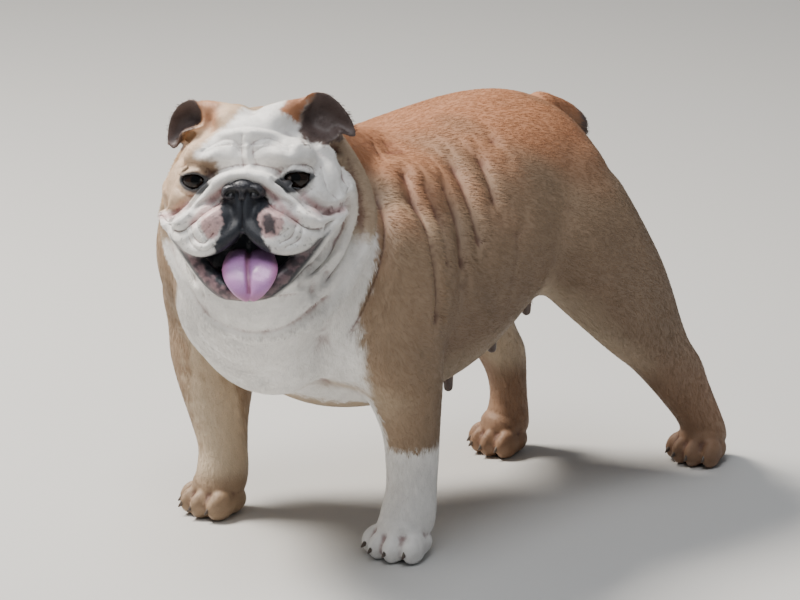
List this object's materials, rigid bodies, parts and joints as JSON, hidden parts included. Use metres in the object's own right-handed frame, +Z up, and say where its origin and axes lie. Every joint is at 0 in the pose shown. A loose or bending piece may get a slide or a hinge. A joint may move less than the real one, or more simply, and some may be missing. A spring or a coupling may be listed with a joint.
{
  "type": "english bulldog",
  "caption": "Life-size english bulldog standing four-square with its head turned to its left and its mouth open, tongue over the lower lip.",
  "frame": {"origin": "on the floor, under the middle of the dog's bounds", "axes": "+Z up, -Y the way the trunk points, +X the dog's left"},
  "size_m": [0.3528, 0.6572, 0.435],
  "materials": {
    "coat_fawn": "short matt fawn fur",
    "coat_white": "short matt white fur",
    "nose_leather": "moist black nose skin",
    "tongue_flesh": "moist pink flesh",
    "eye_brown": "polished dark brown",
    "claw_horn": "dark horn"
  },
  "bodies": {
    "root": {"head": "coat_white", "jaw": "coat_white", "neck": "coat_fawn", "trunk": "coat_fawn", "tail": "coat_fawn", "ear_left": "coat_fawn", "ear_right": "coat_fawn", "eye_left": "eye_brown", "eye_right": "eye_brown", "nose": "nose_leather", "tongue": "tongue_flesh", "leg_front_left": "coat_fawn", "leg_front_right": "coat_fawn", "leg_hind_left": "coat_fawn", "leg_hind_right": "coat_fawn", "paw_front_left": "coat_white", "paw_front_right": "coat_fawn", "paw_hind_left": "coat_fawn", "paw_hind_right": "coat_fawn", "claw_front_left_1": "claw_horn", "claw_front_left_2": "claw_horn", "claw_front_left_3": "claw_horn", "claw_front_left_4": "claw_horn", "claw_front_right_1": "claw_horn", "claw_front_right_2": "claw_horn", "claw_front_right_3": "claw_horn", "claw_front_right_4": "claw_horn", "claw_hind_left_1": "claw_horn", "claw_hind_left_2": "claw_horn", "claw_hind_left_3": "claw_horn", "claw_hind_left_4": "claw_horn", "claw_hind_right_1": "claw_horn", "claw_hind_right_2": "claw_horn", "claw_hind_right_3": "claw_horn", "claw_hind_right_4": "claw_horn"}
  },
  "joints": []
}
